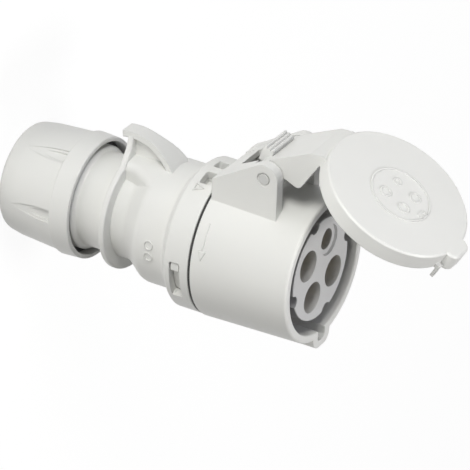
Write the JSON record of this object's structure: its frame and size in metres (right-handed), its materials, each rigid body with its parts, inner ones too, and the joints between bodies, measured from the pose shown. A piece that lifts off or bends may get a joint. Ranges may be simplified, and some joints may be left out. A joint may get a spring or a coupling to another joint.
{
  "type": "industrial cable coupler",
  "caption": "Pin-and-sleeve cable coupler with a hinged lid held open, twist-joined front and rear housings, a hook and a screwed cable gland.",
  "frame": {"origin": "Centre of the gland nut's flat rear face, on the main axis.", "axes": "+Z from the gland to the mouth, +Y towards the lid hinge, +X completes the right hand."},
  "size_m": [0.059, 0.088, 0.1864],
  "materials": {
    "housing_plastic": "satin",
    "insert_plastic": "satin",
    "basket_plastic": "satin",
    "pin_plastic": "satin",
    "black_rubber": "matt",
    "contact_brass": "plated",
    "spring_steel": "bright"
  },
  "bodies": {
    "rear": {"rear_housing": "housing_plastic", "neck_seal": "black_rubber", "slip_washer": "basket_plastic", "clamp_basket": "basket_plastic", "cable_grommet": "black_rubber"},
    "front": {"front_housing": "housing_plastic", "contact_carrier": "insert_plastic", "carrier_back": "insert_plastic", "housing_seal": "black_rubber", "hinge_pin": "pin_plastic", "lid_spring": "spring_steel", "contact_earth": "contact_brass", "contact_line_1": "contact_brass", "contact_line_2": "contact_brass", "contact_line_3": "contact_brass", "contact_spring_earth": "spring_steel", "contact_spring_line_1": "spring_steel", "contact_spring_line_2": "spring_steel", "contact_spring_line_3": "spring_steel", "terminal_screw_earth": "spring_steel", "terminal_screw_line_1": "spring_steel", "terminal_screw_line_2": "spring_steel", "terminal_screw_line_3": "spring_steel", "carrier_screw_1": "spring_steel", "carrier_screw_2": "spring_steel"},
    "nut": {"gland_nut": "housing_plastic"},
    "cover": {"lid": "housing_plastic", "lid_gasket": "black_rubber"}
  },
  "joints": [
    {"name": "gland_nut_turn", "type": "hinge", "parent": "rear", "child": "nut", "pos_m": [0, 0, 0.02], "axis": [0, 0, 1], "range_deg": [-720, 90]},
    {"name": "bayonet_twist", "type": "hinge", "parent": "rear", "child": "front", "pos_m": [0, 0, 0.0842], "axis": [0, 0, 1], "range_deg": [0, 24]},
    {"name": "lid_hinge", "type": "hinge", "parent": "front", "child": "cover", "pos_m": [0, 0.0396, 0.1119], "axis": [-1, 0, 0], "range_deg": [-59.5, 45]}
  ]
}
